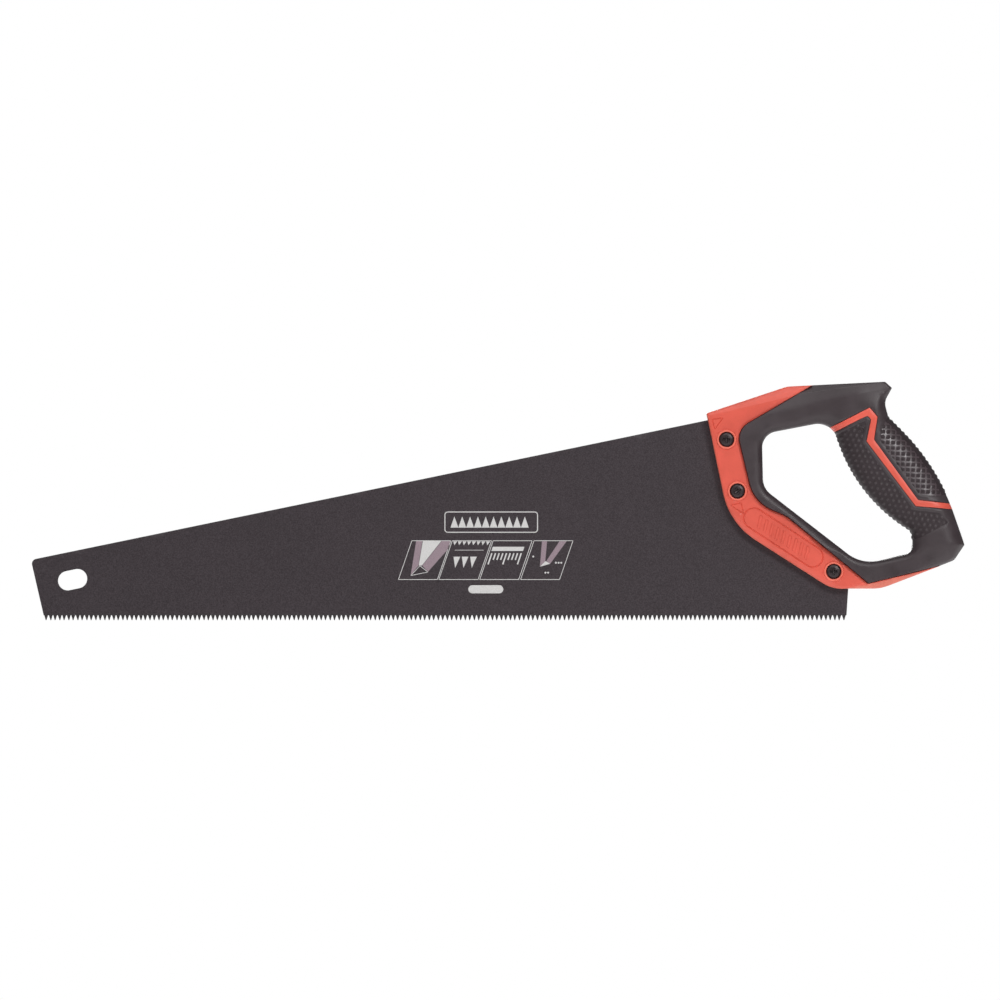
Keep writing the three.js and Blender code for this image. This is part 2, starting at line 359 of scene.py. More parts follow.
def relief(plane, triangles, front, back, rows=1, swell=None):
    """Closed body over plane triangles, from y = -front to y = back, with its walls in rows."""
    used = np.unique(triangles)
    index = np.full(len(plane), -1)
    index[used] = np.arange(len(used))
    tri = index[triangles]
    xz = plane[used]
    front, back = front[used], back[used]
    n = len(xz)
    near = np.stack((xz[:, 0], -front, xz[:, 1]), 1)
    far = np.stack((xz[:, 0], back, xz[:, 1]), 1)
    verts = [near, far]
    faces = [tuple(t) for t in tri] + [(t[0] + n, t[2] + n, t[1] + n) for t in tri]
    total = 2 * n
    for loop in loops_of(tri):
        loop = np.array(loop)
        rings = [loop]
        p = xz[loop]
        along = np.roll(p, -1, 0) - np.roll(p, 1, 0)
        along /= np.maximum(np.hypot(along[:, 0], along[:, 1]), 1e-9)[:, None]
        outward = np.stack((along[:, 1], -along[:, 0]), 1)
        travel = np.concatenate(((0,), np.cumsum(np.hypot(*(p[1:] - p[:-1]).T))))
        for row in range(1, rows):
            t = row / rows
            y = -front[loop] * (1 - t) + back[loop] * t
            moved = p
            if swell:
                push = swell(p, travel, y) * min(1, 4 * t, 4 * (1 - t))
                moved = p + outward * push[:, None]
            verts.append(np.stack((moved[:, 0], y, moved[:, 1]), 1))
            rings.append(np.arange(total, total + len(loop)))
            total += len(loop)
        rings.append(loop + n)
        for a, b in zip(rings, rings[1:]):
            for i in range(len(loop)):
                j = (i + 1) % len(loop)
                faces.append((a[i], b[i], b[j], a[j]))
    return np.concatenate(verts), faces


def join(parts):
    """Several (points, faces) bodies as one."""
    verts, faces, count = [], [], 0
    for v, f in parts:
        verts.append(v)
        faces.extend(tuple(int(i) + count for i in face) for face in f)
        count += len(v)
    return np.concatenate(verts), faces


def face_outwards(mesh):
    bm = bmesh.new()
    bm.from_mesh(mesh)
    bmesh.ops.recalc_face_normals(bm, faces=bm.faces)
    bm.to_mesh(mesh)
    bm.free()


def piece(name, verts, faces, material, node=None, slot=None, crease=38):
    """Blender object from millimetre points, sharp where faces meet at more than crease degrees."""
    mesh = bpy.data.meshes.new(name)
    mesh.from_pydata([tuple(v) for v in np.asarray(verts) * MM], [], faces)
    mesh.validate()
    mesh.update()
    face_outwards(mesh)
    mesh.shade_smooth()
    mesh.set_sharp_from_angle(angle=math.radians(crease))
    mesh.materials.append(material)
    obj = bpy.data.objects.new(name, mesh)
    bpy.context.scene.collection.objects.link(obj)
    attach(obj, "root")
    if node:
        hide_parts(node)
    return obj


def face_centres(obj):
    """Centre of each face as (x, z) in millimetres."""
    return np.array([tuple(p.center) for p in obj.data.polygons])[:, (0, 2)] / MM


def paint(obj, materials, kinds):
    """Adds materials after the first one, and gives each face the one that kinds says."""
    for material in materials:
        obj.data.materials.append(material)
    for polygon, kind in zip(obj.data.polygons, kinds):
        polygon.material_index = int(kind)


# ---- materials ----
def nodes_of(name):
    material = bpy.data.materials.new(name)
    material.use_nodes = True
    tree = material.node_tree
    shader = tree.nodes["Principled BSDF"]
    return material, tree, shader


def noise(tree, scale, detail, rough=0.55):
    """Noise in the object's own space; scale is in features per metre."""
    coord = tree.nodes.new("ShaderNodeTexCoord")
    node = tree.nodes.new("ShaderNodeTexNoise")
    node.inputs["Scale"].default_value = scale
    node.inputs["Detail"].default_value = detail
    node.inputs["Roughness"].default_value = rough
    tree.links.new(coord.outputs["Object"], node.inputs["Vector"])
    return node.outputs["Fac"]


def ramp(tree, value, low, high, start=0.3, end=0.7):
    """Colour from low to high as value goes from start to end."""
    node = tree.nodes.new("ShaderNodeValToRGB")
    node.color_ramp.elements[0].position = start
    node.color_ramp.elements[1].position = end
    node.color_ramp.elements[0].color = (*low, 1)
    node.color_ramp.elements[1].color = (*high, 1)
    tree.links.new(value, node.inputs["Fac"])
    return node.outputs["Color"]


def span(tree, value, low, high, start=0.3, end=0.7):
    """Number from low to high as value goes from start to end."""
    node = tree.nodes.new("ShaderNodeMapRange")
    for key, number in (("From Min", start), ("From Max", end), ("To Min", low), ("To Max", high)):
        node.inputs[key].default_value = number
    tree.links.new(value, node.inputs["Value"])
    return node.outputs["Result"]


def mix(tree, factor, a, b, mode="MIX"):
    node = tree.nodes.new("ShaderNodeMix")
    node.data_type = "RGBA"
    node.blend_type = mode
    sockets = [s for s in node.inputs if s.enabled]
    for socket, value in zip(sockets, (factor, a, b)):
        if isinstance(value, bpy.types.NodeSocket):
            tree.links.new(value, socket)
        elif socket.type == "RGBA":
            socket.default_value = (*value, 1)
        else:
            socket.default_value = value
    return next(s for s in node.outputs if s.enabled)


def bump(tree, shader, height, strength, distance):
    """Bump in the shader's normal; distance is in metres."""
    node = tree.nodes.new("ShaderNodeBump")
    node.inputs["Strength"].default_value = strength
    node.inputs["Distance"].default_value = distance
    tree.links.new(height, node.inputs["Height"])
    tree.links.new(node.outputs["Normal"], shader.inputs["Normal"])


def soft_black(name, smooth, tint=1.0):
    """Black rubber: smooth takes roughness away, and tint scales the colour: above 1 it paints a
    highlight, below 1 it paints shade.
    """
    material, tree, shader = nodes_of(name)
    cloud = noise(tree, 90, 3)
    grain = noise(tree, 5200, 2)
    dark = [tint * level for level in (0.029, 0.019, 0.022)]
    light = [tint * level for level in (0.039, 0.027, 0.031)]
    tone = ramp(tree, cloud, dark, light)
    speck = ramp(tree, grain, (0.82, 0.82, 0.82), (1.15, 1.15, 1.15), 0.35, 0.65)
    tree.links.new(mix(tree, 1.0, tone, speck, "MULTIPLY"), shader.inputs["Base Color"])
    tree.links.new(span(tree, cloud, 0.42 - smooth, 0.54 - smooth), shader.inputs["Roughness"])
    shader.inputs["Specular IOR Level"].default_value = 0.5 + 2 * smooth
    bump(tree, shader, grain, 0.25, 0.00006)
    return material


def red_plastic(name, low, high, rough):
    """Moulded red plastic, between two colours."""
    material, tree, shader = nodes_of(name)
    cloud = noise(tree, 60, 3)
    grain = noise(tree, 4200, 3)
    tone = ramp(tree, cloud, low, high)
    speck = ramp(tree, grain, (0.95, 0.95, 0.95), (1.04, 1.04, 1.04), 0.35, 0.65)
    tree.links.new(mix(tree, 1.0, tone, speck, "MULTIPLY"), shader.inputs["Base Color"])
    tree.links.new(span(tree, grain, rough, rough + 0.12), shader.inputs["Roughness"])
    bump(tree, shader, grain, 0.12, 0.00005)
    return material


def blade_steel():
    """Dark speckled coating, almost black along the hardened tooth tips."""
    material, tree, shader = nodes_of("blade_steel")
    coord = tree.nodes.new("ShaderNodeTexCoord")
    split = tree.nodes.new("ShaderNodeSeparateXYZ")
    tree.links.new(coord.outputs["Object"], split.inputs["Vector"])
    speckle = noise(tree, 1500, 3, 0.7)
    cloud = noise(tree, 22, 3)
    tone = ramp(tree, speckle, (0.019, 0.012, 0.0155), (0.046, 0.035, 0.041), 0.36, 0.64)
    drift = ramp(tree, cloud, (0.95, 0.95, 0.95), (1.05, 1.05, 1.05))
    body = mix(tree, 1.0, tone, drift, "MULTIPLY")
    hard_below, coated_above = -0.0812, -0.0795
    hard = span(tree, split.outputs["Z"], 1.0, 0.0, hard_below, coated_above)
    tree.links.new(mix(tree, hard, body, (0.005, 0.0035, 0.004)), shader.inputs["Base Color"])
    shader.inputs["Metallic"].default_value = 0.2
    tree.links.new(span(tree, speckle, 0.42, 0.56), shader.inputs["Roughness"])
    bump(tree, shader, speckle, 0.10, 0.00005)
    return material


def screw_black():
    """Blackened steel of the screws and nuts."""
    material, tree, shader = nodes_of("screw_black")
    grain = noise(tree, 2600, 3)
    tree.links.new(ramp(tree, grain, (0.020, 0.012, 0.013), (0.042, 0.028, 0.031)),
                   shader.inputs["Base Color"])
    shader.inputs["Metallic"].default_value = 0.35
    tree.links.new(span(tree, grain, 0.30, 0.46), shader.inputs["Roughness"])
    bump(tree, shader, grain, 0.15, 0.00004)
    return material


def ink_and_shade(name, low, high):
    """Printed paint with a little dust in it; the same film, made darker, paints the shade along the
    blade's rim.
    """
    material, tree, shader = nodes_of(name)
    grain = noise(tree, 1800, 3, 0.7)
    tree.links.new(ramp(tree, grain, low, high), shader.inputs["Base Color"])
    tree.links.new(span(tree, grain, 0.50, 0.65), shader.inputs["Roughness"])
    bump(tree, shader, grain, 0.08, 0.00003)
    return material


BLACK = soft_black("soft_black", 0)
# lighter, glossier copy of the rubber for the net between the palm studs: the lighter colour is a
# painted highlight
NET_HIGHLIGHT = soft_black("soft_black_smooth_painted_highlight", 0.12, 1.5)
# darker, rougher copy of the rubber for the palm studs and the hollows between the finger bumps: the
# darker colour is painted shade
STUD_SHADE = soft_black("soft_black_matt_painted_shade", -0.1, 0.82)
RED = red_plastic("red_plastic", (0.59, 0.080, 0.050), (0.70, 0.098, 0.064), 0.36)
# lighter red for the rounded outer edge of the core and the lips round the screws: painted highlight
EDGE_HIGHLIGHT = red_plastic("red_plastic_painted_highlight", (0.70, 0.130, 0.082), (0.80, 0.160, 0.105), 0.42)
# lighter, pinker red for the facet that faces down under the lower arm: painted reflection of the pale
# floor
UNDER_REFLECTION = red_plastic("red_plastic_painted_reflection", (0.58, 0.125, 0.080), (0.66, 0.150, 0.100), 0.32)
STEEL = blade_steel()
SCREW = screw_black()

# ---- handle: one triangulation shared by the red core and the black grip ----
outer = resample(rounded(HANDLE), CURVE_STEP)
opening = resample(rounded(HAND_OPENING), CURVE_STEP)
region = rounded(SOFT_REGION)
stripe = rounded(STRIPE, 0.4)
finger = rounded(FINGER_PAD)
palm = rounded(PALM_PAD)
bores = [circle(x, z, BORE_RADIUS, BORE_SIDES) for _, x, z, _ in SCREWS]
marks = [rounded(mark, 0.2) for mark in ANGLE_MARKS]
badge = capsule(**BADGE)
ribs = [turned(np.array(RIB) + (RIB_PITCH * k, 0), BADGE["angle"]) + (BADGE["x"], BADGE["z"])
        for k in range(-RIBS_EACH_SIDE, RIBS_EACH_SIDE + 1)]


def palm_cell(points):
    """Position inside the palm pad's square grid, each axis from -half to +half of the pitch."""
    uv = (points - PALM_ORIGIN) @ np.linalg.inv(PALM_AXES)
    return uv - PALM_PITCH * np.round(uv / PALM_PITCH)


def finger_cell(points):
    """Distance to the nearest bump of the finger pad's hexagonal grid."""
    tilted = turned(points, FINGER_TILT)
    row = FINGER_PITCH * math.sqrt(3)
    best = np.full(len(points), FINGER_PITCH * 2)
    for shift in ((0, 0), (FINGER_PITCH / 2, row / 2)):
        x = tilted[:, 0] - shift[0]
        z = tilted[:, 1] - shift[1]
        x -= FINGER_PITCH * np.round(x / FINGER_PITCH)
        z -= row * np.round(z / row)
        best = np.minimum(best, np.hypot(x, z))
    return best


def body_height(points):
    """Half thickness of the handle's main form, without its textures and seams."""
    x, z = points[:, 0], points[:, 1]
    low = ease(z, -34, -44) * ease(x, -62, -40)
    full = ARM_HALF + GRIP_SWELL * ease(x, -64, -28)
    full -= HORN_TAPER * ease(x, -30, -8) * ease(z, 48, 62)
    full = full * (1 - low) + (STRIP_HALF + HEEL_SWELL * ease(x, -22, 20)) * low
    width = (5.2 + 6.5 * ease(x, -72, -36)) * (1 - low) + 3.2 * low
    near_opening = roll(-depth(points, opening), width, OPENING_HALF, full)
    edge_width = np.interp(z, *zip(*EDGE_ROLL))
    edge_low = np.interp(z, *zip(*EDGE_HALF))
    near_edge = roll(depth(points, outer), edge_width, edge_low, full)
    height = blend_min(near_opening, near_edge, 1.2)
    arm = full - 0.30 * np.maximum(above(points, *TOP_CREASES[0]), 0)
    arm -= 0.75 * np.maximum(above(points, *TOP_CREASES[1]), 0)
    height = blend_min(height, arm, 0.3)
    return height - 0.8 * np.maximum(2.6 - above(points, *HEEL), 0)


def finger_texture(points):
    """Round bumps, with a ring round the peg."""
    in_finger = depth(points, finger)
    from_peg = np.hypot(points[:, 0] - PEG[0], points[:, 1] - PEG[1])
    bumps = BUMP_HEIGHT * bulge(finger_cell(points), BUMP_RADIUS)
    bumps *= ease(in_finger, 0.5, 0.9) * ease(from_peg, 2.2, 2.8)
    return bumps - 0.28 * ease(in_finger, *PAD_SOFTNESS) + 0.4 * bulge(from_peg - PEG_RADIUS, 0.5)


def palm_texture(points):
    """Square studs, lower towards the edge of the handle."""
    in_palm = depth(points, palm)
    square = np.abs(palm_cell(points)).max(1)
    tall = 0.12 + 0.48 * ease(depth(points, outer), 3.5, 8)
    studs = tall * np.clip((STUD_FOOT - square) / (STUD_FOOT - STUD_TOP), 0, 1) * ease(in_palm, 0.2, 0.6)
    return studs - 0.25 * ease(in_palm, *PAD_SOFTNESS)


def black_height(points):
    """Half thickness of the soft grip."""
    x, z = points[:, 0], points[:, 1]
    height = body_height(points)
    from_red = depth(points, region)
    base = CHEEK + CHEEK_STEP * ease(x, -24, 4) * ease(z, -40, -48)
    seam = np.minimum(base - 1.3 + 5.2 * from_red, base)
    shoulder = np.maximum(seam, roll(from_red - 0.25, 2.2, base, 15))
    height = blend_min(height, np.where(from_red < 0.25, seam, shoulder), 0.5)
    from_stripe = -depth(points, stripe)
    height -= 0.55 * (1 - ease(from_stripe, 0, 0.5))
    return height + finger_texture(points) + palm_texture(points)


def below_crease(points):
    """Distance below the crease of the facet under the lower arm."""
    return np.maximum(*(-above(points, *line) for line in UNDER_CREASES))


def red_facets(points):
    """What the facets along the top, the front edge and the lower arm take off the cheek."""
    x, z = points[:, 0], points[:, 1]
    upper = ease(z, *CHEEK_FACET)
    cut = 0.30 * np.maximum(above(points, *RED_CREASES[0]), 0) * upper
    cut += 0.50 * np.maximum(above(points, *RED_CREASES[1]), 0) * upper
    lower = ease(z, -4, -14) * ease(x, -36, -46)
    cut += 0.26 * np.maximum(3.2 - depth(points, outer), 0) * lower
    under = ease(x, -40, -34) * ease(z, -44, -46)
    return cut + 0.95 * np.clip(below_crease(points), 0, 4) * under


def red_details(points):
    """Lips round the screws, engraved triangles, and the panel with its ribs."""
    height = np.zeros(len(points))
    for _, x, z, _ in SCREWS:
        r = np.hypot(points[:, 0] - x, points[:, 1] - z)
        height += LIP_HEIGHT * (ease(-r, -LIP_FOOT, -LIP_TOP) - 0.4 * ease(-r, -LIP_INNER, -BORE_RADIUS))
    for mark in marks:
        height -= 0.45 * bulge(depth(points, mark), 0.36)
    height -= 0.6 * bulge(depth(points, badge), 0.55)
    for bar in ribs:
        height += 0.5 * ease(depth(points, bar), 0.0, RIB_SLOPE)
    return height


def red_height(points):
    """Half thickness of the core: the cheeks, and the stripe flush with the grip."""
    x, z = points[:, 0], points[:, 1]
    strip = ease(x, -24, 4) * ease(z, -44, -50)
    height = CHEEK + CHEEK_STEP * strip - red_facets(points)
    height = np.minimum(height, roll(depth(points, outer), 0.9, height - 1.1, height))
    height += red_details(points)
    from_soft = -depth(points, region)
    height = np.where(from_soft > 0, height - 0.25 * (1 - ease(from_soft, 0, 0.3)), height)
    in_stripe = depth(points, stripe)
    flush = body_height(points) + 0.02 - 0.16 * (1 - ease(in_stripe, 0, 0.3))
    return np.where(in_stripe > -1e-3, flush, height)


def palm_lattice():
    """Corners, slopes and valleys of every stud in the palm pad."""
    cells = [np.array((i, j)) for i in range(-8, 22) for j in range(-8, 18)]
    inner = (-STUD_FOOT, -STUD_TOP, STUD_TOP, STUD_FOOT, PALM_PITCH / 2)
    u, v = PALM_AXES
    lattice = np.array([PALM_ORIGIN + (i * PALM_PITCH + a) * u + (j * PALM_PITCH + b) * v
                        for i, j in cells for a in inner for b in inner])
    return lattice[depth(lattice, palm) > 0.3]


def feature_points():
    """Points along the edges, seams, creases, lips, engravings and studs of the handle."""
    points = [
        offsets(outer, (0.08, 0.3, 0.9, 2, 3.6, 6), 0.9),
        offsets(opening, (-0.08, -0.3, -0.9, -2, -3.6, -6), 0.9),
        offsets(region, (-0.3, -0.12, 0.12, 0.25, 0.6, 1.1, 1.7, 2.5, 3.4), 0.9),
        offsets(stripe, (-0.5, -0.25, -0.1, 0.12, 0.3), 0.8),
        offsets(finger, (-0.15, 0.05, 0.25), 0.7),
        offsets(palm, (-0.15, 0.05, 0.25), 0.7),
        offsets(badge, (-0.55, -0.28, 0, 0.28, 0.55), 0.7),
    ]
    points += [offsets(mark, (-0.36, -0.18, 0, 0.18, 0.36), 0.5) for mark in marks]
    for _, x, z, _ in SCREWS:
        points += [circle(x, z, r, 44) for r in (5.0, 5.15, 5.5, 5.9, 6.1, 6.35)]
    for a, b in TOP_CREASES + RED_CREASES:
        a, b = np.array(a), np.array(b)
        line = a + (b - a) * np.linspace(-0.3, 1.15, 110)[:, None]
        points += [line + (0, d) for d in (-0.3, 0, 0.3)]
    points.append(palm_lattice())
    points += [circle(*PEG, r, 20) for r in (1.0, 1.25, 1.5, 1.75, 2.0)]
    return distinct(np.concatenate(points), 0.11)


def handle_points():
    """All free mesh points of the handle: features, a dense finger pad, and a plain filling."""
    lines = feature_points()
    low, high = outer.min(0), outer.max(0)
    dense = hex_grid(low, high, 0.55)
    dense = dense[depth(dense, finger) > 0.3]
    lines = np.concatenate((lines, thin(dense, lines, 0.30)))
    plain = thin(hex_grid(low, high, 1.5), lines, 0.85)
    plain = plain[depth(plain, palm) < 0.3]
    cloud = np.concatenate((lines, plain))
    cloud = cloud[(depth(cloud, outer) > 0.05) & (depth(cloud, opening) < -0.05)]
    for bore in bores:
        cloud = cloud[depth(cloud, bore) < -0.05]
    for bar in ribs:
        cloud = cloud[np.abs(depth(cloud, bar) - 0.2) > 0.5]
    return cloud


def split_handle():
    """Plane points of the handle, with the black and the red triangles."""
    steps = [resample(bar, 0.9) for bar in ribs]
    steps += [resample(inset(bar, RIB_SLOPE), 0.9) for bar in ribs]
    plane, triangles = triangulate([outer, opening, region, stripe, *bores, *steps], handle_points())
    triangles, middle, area = oriented(plane, triangles)
    solid = inside(middle, outer) & ~inside(middle, opening) & (area > 1e-9)
    soft = inside(middle, region) & ~inside(middle, stripe)
    drilled = np.zeros(len(middle), bool)
    for bore in bores:
        drilled |= inside(middle, bore)
    return plane, triangles[solid & soft], triangles[solid & ~soft & ~drilled]


def grip_swell(points, travel, y):
    """Bumps on the edges of the two pads, seen in the handle's outline."""
    wave = np.abs(np.sin(math.pi * travel / 3.4)) ** 0.8
    across = 0.6 + 0.4 * np.abs(np.cos(math.pi * y / 3.3))
    held = np.maximum(ease(depth(points, finger), 0.2, 1.2), ease(depth(points, palm), 0.2, 1.2))
    return 0.8 * wave * across * held


def spread(points, index, height_of):
    """Heights at the plane points that a set of triangles uses."""
    used = np.unique(index)
    values = np.zeros(len(points))
    values[used] = height_of(points[used])
    return values


def make_grip(plane, triangles):
    height = spread(plane, triangles, black_height)
    grip = piece("soft_grip_shell", *relief(plane, triangles, height, height, 8, grip_swell),
                 BLACK, "soft_grip", "soft_black", 50)
    centres = face_centres(grip)
    in_palm = depth(centres, palm) > 0.4
    facing = np.array([abs(p.normal.y) for p in grip.data.polygons]) > 0.72
    low_part = facing & (np.abs(palm_cell(centres)).max(1) > 1.1)
    in_finger = (depth(centres, finger) > 0.2) & (finger_cell(centres) > 0.8)
    # net faces of the palm pad take the painted highlight, its studs and the hollows between finger
    # bumps take the painted shade
    kinds = np.where(in_palm & low_part, 1, np.where(in_palm | in_finger, 2, 0))
    paint(grip, (NET_HIGHLIGHT, STUD_SHADE), kinds)


def make_core(plane, triangles):
    height = spread(plane, triangles, red_height)
    parts = [relief(plane, triangles, height, height, 6)]
    for _, x, z, _ in SCREWS:
        rim = circle(x, z, BORE_RADIUS + 0.05, BORE_SIDES)
        plug, plug_triangles = triangulate([rim], np.array([(x, z)]))
        flat = np.full(len(plug), PLUG_HALF)
        parts.append(relief(plug, plug_triangles, flat, flat))
    core = piece("handle_core_shell", *join(parts), RED, "handle_core", "red_plastic", 50)
    centres = face_centres(core)
    # faces along the core's outer edge and on the screw lips get the painted highlight
    highlight_faces = (depth(centres, outer) < 0.45) & (depth(centres, region) < 0)
    for _, x, z, _ in SCREWS:
        r = np.hypot(centres[:, 0] - x, centres[:, 1] - z)
        highlight_faces |= (r > 4.9) & (r < LIP_TOP)
    # the facet under the lower arm takes the painted reflection
    lower_facet = (below_crease(centres) > 0.15) & (centres[:, 1] < -45) & (centres[:, 0] > -37)
    paint(core, (EDGE_HIGHLIGHT, UNDER_REFLECTION), np.where(lower_facet, 2, highlight_faces))


handle_plane, black_triangles, red_triangles = split_handle()
make_grip(handle_plane, black_triangles)
make_core(handle_plane, red_triangles)

# ---- blade ----
blade = rounded(BLADE, 0.5)
slot = capsule(**HANG_SLOT)


def from_rim(points):
    """Distance to the blade's outline or its slot, whichever is nearer."""
    return np.minimum(depth(points, blade), -depth(points, slot))


def blade_sheet():
    """The blade without its teeth, a little thinner along its rim."""
    rim = resample(blade, BLADE_MESH)
    near_edge = np.concatenate((offsets(rim, (0.1, 0.35, 0.8), BLADE_MESH),
                                offsets(slot, (-0.1, -0.35, -0.8), 1)))
    near_edge = near_edge[from_rim(near_edge) > 0.05]
    field = hex_grid(blade.min(0), blade.max(0), 14)
    field = field[from_rim(field) > 3]
    sheet, triangles = triangulate([rim, slot], np.concatenate((near_edge, field)))
    triangles, middle, _ = oriented(sheet, triangles)
    triangles = triangles[inside(middle, blade) & ~inside(middle, slot)]
    skin = BLADE_EDGE_HALF + BLADE_CROWN * ease(from_rim(sheet), 0, 0.3)
    return relief(sheet, triangles, skin, skin)


def tooth(number):
    """One tooth with a thin tip, which leans to the left or the right by turns."""
    side = 1 if number % 2 else -1
    root = FIRST_TIP + number * TOOTH_PITCH
    tip = root + TIP_SHIFT * side
    lean = TOOTH_SET * side
    corners = [(root - ROOT_WIDE, ROOT_Z, ROOT_HALF, 0), (root + ROOT_WIDE, ROOT_Z, ROOT_HALF, 0),
               (tip + TIP_WIDE, TIP_Z, TIP_HALF, lean), (tip - TIP_WIDE, TIP_Z, TIP_HALF, lean)]
    front = [(x, y - half, z) for x, z, half, y in corners]
    rear = [(x, y + half, z) for x, z, half, y in corners]
    sides = [(0, 4, 5, 1), (1, 5, 6, 2), (2, 6, 7, 3), (3, 7, 4, 0)]
    return np.array(front + rear), [(0, 1, 2, 3), (7, 6, 5, 4), *sides]


def make_blade():
    parts = [blade_sheet()] + [tooth(i) for i in range(TOOTH_COUNT)]
    saw = piece("blade_fine", *join(parts), STEEL, "saw_blade", "blade_steel", 30)
    # near-black film on the faces within 0.4 mm of the blade's outline and slot: painted shade along the
    # rim
    edge = ink_and_shade("blade_edge_painted_shade", (0.010, 0.006, 0.008), (0.022, 0.016, 0.018))
    paint(saw, [edge], from_rim(face_centres(saw)) < 0.4)


make_blade()


# ---- screws and nuts ----
def cross_outline(x, z, turn):
    """Clockwise outline of the cross recess: three corners of one arm, then the other arms."""
    corners = [(-CROSS_WIDE, CROSS_ARM), (CROSS_WIDE, CROSS_ARM), (CROSS_WIDE, CROSS_WIDE)]
    for _ in range(9):
        back_x, back_z = corners[-3]
        corners.append((back_z, -back_x))
    return turned(np.array(corners), turn) + (x, z)


def head_points(x, z, cross):
    """Free mesh points of a head, dense along its rim and its cross."""
    rings = [circle(x, z, r, 40) for r in (4.3, 4.1, 3.8, 3.4, 2.9)]
    grid = np.concatenate(rings + [offsets(cross, (-0.12, 0.05, 0.3), 0.35)])
    filling = hex_grid((x - 4, z - 4), (x + 4, z + 4), 0.45)
    grid = np.concatenate((grid, thin(filling, grid, 0.2)))
    return distinct(grid[np.hypot(grid[:, 0] - x, grid[:, 1] - z) < 4.36], 0.07)


def make_fastener(name, x, z, turn):
    """Screw head on the front and nut on the back, on one triangulation."""
    cross = cross_outline(x, z, turn)
    disc, triangles = triangulate([circle(x, z, HEAD_RADIUS, 56)], head_points(x, z, cross))
    r = np.hypot(disc[:, 0] - x, disc[:, 1] - z)
    dome = HEAD_EDGE + HEAD_CROWN * np.sqrt(np.clip(1 - (r / HEAD_CURVE) ** 2.6, 0, 1))
    foot = np.full(len(disc), -HEAD_FOOT)
    recess = 0.35 + 1.3 * np.clip(1 - r / 2.9, 0, 1)
    sunk = dome - recess * ease(depth(disc, cross), -0.1, 0.22)
    piece("screw_%s_fine" % name, *relief(disc, triangles, sunk, foot), SCREW,
          "handle_screw_" + name, "screw_black")
    piece("nut_%s_fine" % name, *relief(disc, triangles, foot, dome - 0.25 * bulge(r - 3.2, 0.3)),
          SCREW, "sleeve_nut_" + name, "screw_black")


for screw in SCREWS:
    make_fastener(*screw)

# ---- print on the blade: plain signs only ----
PRINT_FACE = -0.45
PRINT_THICK = 0.03
SIGN_TOP = -33.6
SIGN_BOTTOM = -57.9
SIGN_SLOPE = 8.4
SIGNS = [(-307.3, -282.9), (-282.0, -257.4), (-256.4, -232.0), (-230.8, -206.4)]
LABEL = [(-286.6, -15.6, 1.8), (-228.6, -15.6, 1.8), (-228.6, -28.3, 1.8), (-286.6, -28.3, 1.8)]


def slab(loop):
    """Thin film of paint over a loop."""
    n = len(loop)
    front = [(x, PRINT_FACE - PRINT_THICK, z) for x, z in loop]
    rear = [(x, PRINT_FACE + 0.01, z) for x, z in loop]
    faces = [tuple(range(n)), tuple(range(2 * n - 1, n - 1, -1))]
    faces += [(i, n + i, n + (i + 1) % n, (i + 1) % n) for i in range(n)]
    return np.array(front + rear), faces


def stroke(a, b, width):
    """Straight line of paint."""
    a, b = np.array(a, float), np.array(b, float)
    along = (b - a) / np.hypot(*(b - a))
    side = np.array((-along[1], along[0])) * width / 2
    return slab([a + side, b + side, b - side, a - side])


def outline(loop, width):
    """Closed line of paint."""
    return [stroke(a, b, width) for a, b in zip(loop, loop[1:] + loop[:1])]


def row_of(shape, left, pitch, count):
    """Copies of a shape side by side; its x is measured from left."""
    return [slab([(left + i * pitch + x, z) for x, z in shape]) for i in range(count)]


def dots(x, z, count):
    """Row of dots centred on (x, z)."""
    places = [x + 1.7 * (i - (count - 1) / 2) for i in range(count)]
    return [slab([tuple(p) for p in circle(place, z, 0.6, 14)]) for place in places]


def sign_frames():
    shapes = []
    for left, right in SIGNS:
        frame_loop = [(left, SIGN_TOP), (right, SIGN_TOP),
                      (right - SIGN_SLOPE, SIGN_BOTTOM), (left - SIGN_SLOPE, SIGN_BOTTOM)]
        shapes += outline(frame_loop, 0.38)
    return shapes


def tooth_sign():
    """A ground tooth seen from its face, as white and grey shapes."""
    white = [slab([(-300.4, -33.8), (-288.9, -33.8), (-301.0, -49.1), (-303.0, -49.1)])]
    white += outline([(-308.0, -55.4), (-302.3, -49.3), (-297.2, -53.2)], 0.35)
    grey = [
        slab([(-304.6, -33.8), (-300.7, -33.8), (-303.2, -49.2), (-308.0, -55.2)]),
        slab([(-288.6, -33.8), (-283.4, -33.8), (-284.2, -38.4), (-297.2, -53.0), (-300.8, -49.2)]),
    ]
    return white, grey


def pitch_sign():
    """A row of teeth over a line and three points."""
    shapes = row_of([(0, -34.0), (2.5, -34.0), (0.7, -36.4)], -281.4, 2.95, 8)
    shapes.append(stroke((-280.4, -39.5), (-262.4, -39.5), 0.3))
    return shapes + row_of([(0, -43.6), (4.2, -43.6), (1.0, -50.6)], -281.2, 5.2, 3)


def rule_sign():
    """A rule with a long line at every fourth place."""
    shapes = [slab([(-256.6, -37.4), (-236.8, -37.4), (-237.7, -40.0), (-257.5, -40.0)])]
    for i in range(9):
        tall = 7.0 if i % 4 == 0 else 4.2
        left = -257.2 + i * 2.3
        shapes.append(stroke((left, -41.4), (left - tall * 0.34, -41.4 - tall), 0.85))
    return shapes


def tip_sign():
    """Two ground faces that meet at a tip, with one, two and three dots."""
    white = [slab([(-227.2, -49.9), (-223.6, -46.4), (-220.6, -48.0)])]
    white += dots(-231.3, -43.5, 1) + dots(-222.8, -53.6, 2) + dots(-215.4, -47.4, 3)
    grey = [
        slab([(-225.8, -33.9), (-222.6, -33.9), (-223.8, -46.6), (-227.1, -49.6)]),
        slab([(-214.8, -33.9), (-210.4, -33.9), (-220.6, -47.9), (-223.2, -46.5)]),
    ]
    return white, grey


